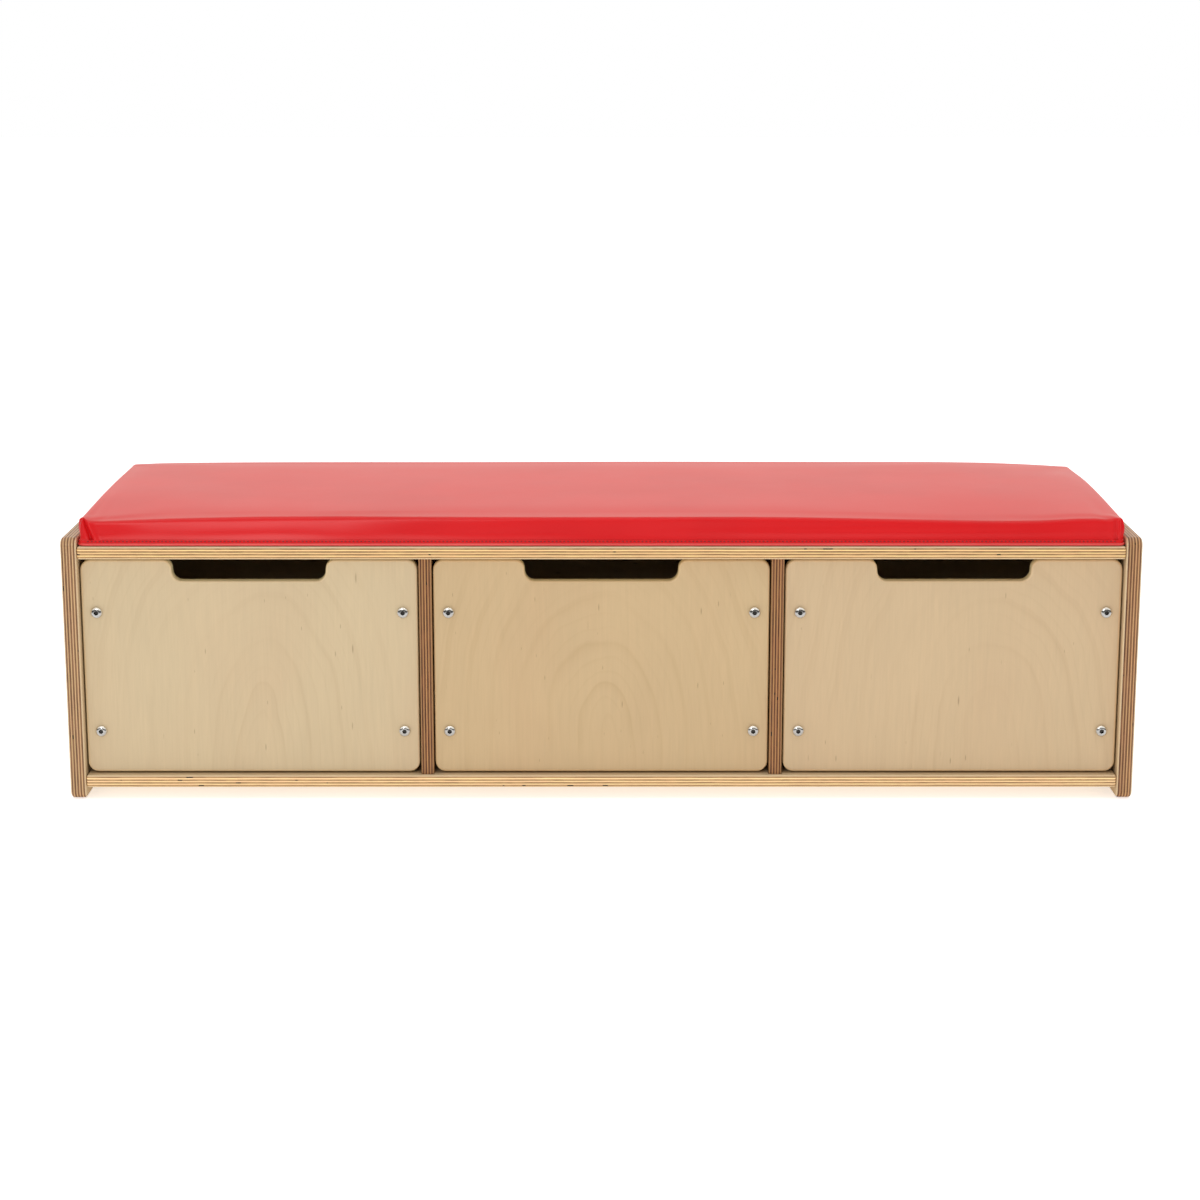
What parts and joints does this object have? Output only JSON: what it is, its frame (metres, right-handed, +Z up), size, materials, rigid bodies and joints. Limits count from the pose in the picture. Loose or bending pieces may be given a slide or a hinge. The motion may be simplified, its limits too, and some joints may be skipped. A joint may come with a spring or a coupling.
{
  "type": "storage bench",
  "caption": "Low plywood storage bench with box drawers, cut hand notches, button-head bolts and a padded seat cushion.",
  "frame": {"origin": "on the floor under the centre of the bench's bounding box", "axes": "+X along the bench to its right seen from the front, +Y to its back, +Z up"},
  "size_m": [1.0066, 0.3, 0.2753],
  "materials": {
    "birch_plywood": "clear satin lacquer on birch plywood",
    "birch_plywood_inside": "thin matt lacquer on birch plywood",
    "zinc_plated_steel": "bright zinc plate",
    "red_vinyl": "semi-gloss coated vinyl fabric",
    "cushion_foam": "cut polyurethane foam"
  },
  "bodies": {
    "carcass": {"end_panel_left": "birch_plywood", "end_panel_right": "birch_plywood", "seat_board": "birch_plywood", "base_board": "birch_plywood", "divider_left": "birch_plywood", "divider_right": "birch_plywood", "back_panel": "birch_plywood_inside", "left_end_bolt_base_front": "zinc_plated_steel", "left_end_bolt_base_back": "zinc_plated_steel", "left_end_bolt_seat_front": "zinc_plated_steel", "left_end_bolt_seat_back": "zinc_plated_steel", "right_end_bolt_base_front": "zinc_plated_steel", "right_end_bolt_base_back": "zinc_plated_steel", "right_end_bolt_seat_front": "zinc_plated_steel", "right_end_bolt_seat_back": "zinc_plated_steel"},
    "left_drawer": {"left_drawer_front": "birch_plywood", "left_drawer_left_side": "birch_plywood_inside", "left_drawer_right_side": "birch_plywood_inside", "left_drawer_back": "birch_plywood_inside", "left_drawer_bottom": "birch_plywood_inside", "left_drawer_bolt_left_lower": "zinc_plated_steel", "left_drawer_nut_left_lower": "zinc_plated_steel", "left_drawer_bolt_left_upper": "zinc_plated_steel", "left_drawer_nut_left_upper": "zinc_plated_steel", "left_drawer_bolt_right_lower": "zinc_plated_steel", "left_drawer_nut_right_lower": "zinc_plated_steel", "left_drawer_bolt_right_upper": "zinc_plated_steel", "left_drawer_nut_right_upper": "zinc_plated_steel"},
    "middle_drawer": {"middle_drawer_front": "birch_plywood", "middle_drawer_left_side": "birch_plywood_inside", "middle_drawer_right_side": "birch_plywood_inside", "middle_drawer_back": "birch_plywood_inside", "middle_drawer_bottom": "birch_plywood_inside", "middle_drawer_bolt_left_lower": "zinc_plated_steel", "middle_drawer_nut_left_lower": "zinc_plated_steel", "middle_drawer_bolt_left_upper": "zinc_plated_steel", "middle_drawer_nut_left_upper": "zinc_plated_steel", "middle_drawer_bolt_right_lower": "zinc_plated_steel", "middle_drawer_nut_right_lower": "zinc_plated_steel", "middle_drawer_bolt_right_upper": "zinc_plated_steel", "middle_drawer_nut_right_upper": "zinc_plated_steel"},
    "right_drawer": {"right_drawer_front": "birch_plywood", "right_drawer_left_side": "birch_plywood_inside", "right_drawer_right_side": "birch_plywood_inside", "right_drawer_back": "birch_plywood_inside", "right_drawer_bottom": "birch_plywood_inside", "right_drawer_bolt_left_lower": "zinc_plated_steel", "right_drawer_nut_left_lower": "zinc_plated_steel", "right_drawer_bolt_left_upper": "zinc_plated_steel", "right_drawer_nut_left_upper": "zinc_plated_steel", "right_drawer_bolt_right_lower": "zinc_plated_steel", "right_drawer_nut_right_lower": "zinc_plated_steel", "right_drawer_bolt_right_upper": "zinc_plated_steel", "right_drawer_nut_right_upper": "zinc_plated_steel"},
    "cushion": {"cushion_cover": "red_vinyl", "cushion_underside": "red_vinyl", "cushion_foam": "cushion_foam"}
  },
  "joints": [
    {"name": "left_drawer_slide", "type": "slide", "parent": "carcass", "child": "left_drawer", "axis": [0, -1, 0], "range_m": [0, 0.24]},
    {"name": "middle_drawer_slide", "type": "slide", "parent": "carcass", "child": "middle_drawer", "axis": [0, -1, 0], "range_m": [0, 0.24]},
    {"name": "right_drawer_slide", "type": "slide", "parent": "carcass", "child": "right_drawer", "axis": [0, -1, 0], "range_m": [0, 0.24]},
    {"name": "cushion_lift", "type": "slide", "parent": "carcass", "child": "cushion", "axis": [0, 0, 1], "range_m": [0, 0.06]}
  ]
}
